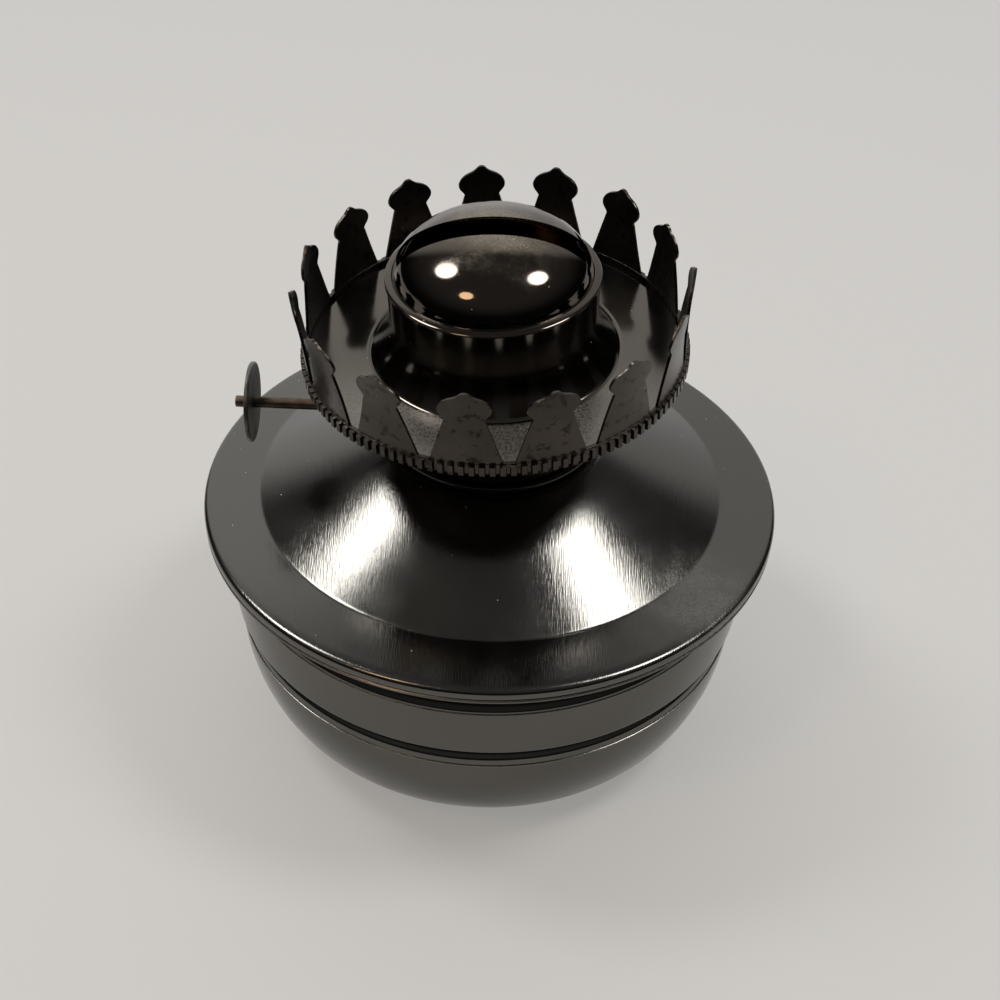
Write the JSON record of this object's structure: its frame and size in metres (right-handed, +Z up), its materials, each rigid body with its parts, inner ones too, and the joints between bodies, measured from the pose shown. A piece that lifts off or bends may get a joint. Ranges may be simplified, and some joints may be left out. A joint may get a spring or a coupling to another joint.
{
  "type": "oil lamp base",
  "caption": "Oil lamp base: a squat drawn metal font with a flat-wick burner, a slotted dome, a winding spindle and a crown of prongs that grips a glass chimney.",
  "frame": {"origin": "on the lamp's axis, at the plane of the foot that it stands on", "axes": "+Z up along the lamp's axis; the wick slot and the spindle run along X with the knob at -X; -Y is the picture's side"},
  "size_m": [0.1274, 0.1274, 0.1231],
  "materials": {
    "font_nickel": "satin black nickel plate on drawn sheet",
    "burner_nickel": "dull black nickel plate",
    "gallery_nickel": "thin bright black nickel plate on stamped sheet",
    "dome_nickel": "glossy black nickel plate, a little bronzed by heat",
    "spindle_bronze": "dark drawn wire with a coppery tint",
    "burner_brass": "dull bare brass",
    "wick_cotton": "flat woven cotton"
  },
  "bodies": {
    "font": {"font_bowl": "font_nickel", "font_top": "font_nickel", "font_collar": "burner_brass"},
    "burner": {"base_cup": "burner_nickel", "air_basket": "burner_nickel", "draft_disc": "burner_brass", "wick_tube": "burner_brass", "wheel_box": "burner_brass", "vent_tube": "burner_brass", "spindle_sleeve": "burner_brass"},
    "spindle": {"spindle_shaft": "spindle_bronze", "knob_disc": "burner_nickel", "ratchet_wheel_1": "burner_brass", "ratchet_wheel_2": "burner_brass", "ratchet_wheel_3": "burner_brass", "ratchet_wheel_4": "burner_brass"},
    "wick": {"wick": "wick_cotton"},
    "gallery": {"gallery_plate": "gallery_nickel", "prong_crown": "gallery_nickel", "dome_cap": "dome_nickel"}
  },
  "joints": [
    {"name": "burner_lift", "type": "slide", "parent": "font", "child": "burner", "axis": [0, 0, 1], "range_m": [0, 0.07]},
    {"name": "gallery_lift", "type": "slide", "parent": "burner", "child": "gallery", "axis": [0, 0, 1], "range_m": [0, 0.03]},
    {"name": "spindle_turn", "type": "hinge", "parent": "burner", "child": "spindle", "pos_m": [0, -0.0056, 0.0808], "axis": [1, 0, 0], "range_deg": [-60, 135]},
    {"name": "wick_raise", "type": "slide", "parent": "burner", "child": "wick", "axis": [0, 0, 1], "range_m": [-0.0046, 0.0102]}
  ],
  "couplings": [
    {"joint": "wick_raise", "follows": "spindle_turn", "m_per_rad": 0.0043}
  ]
}
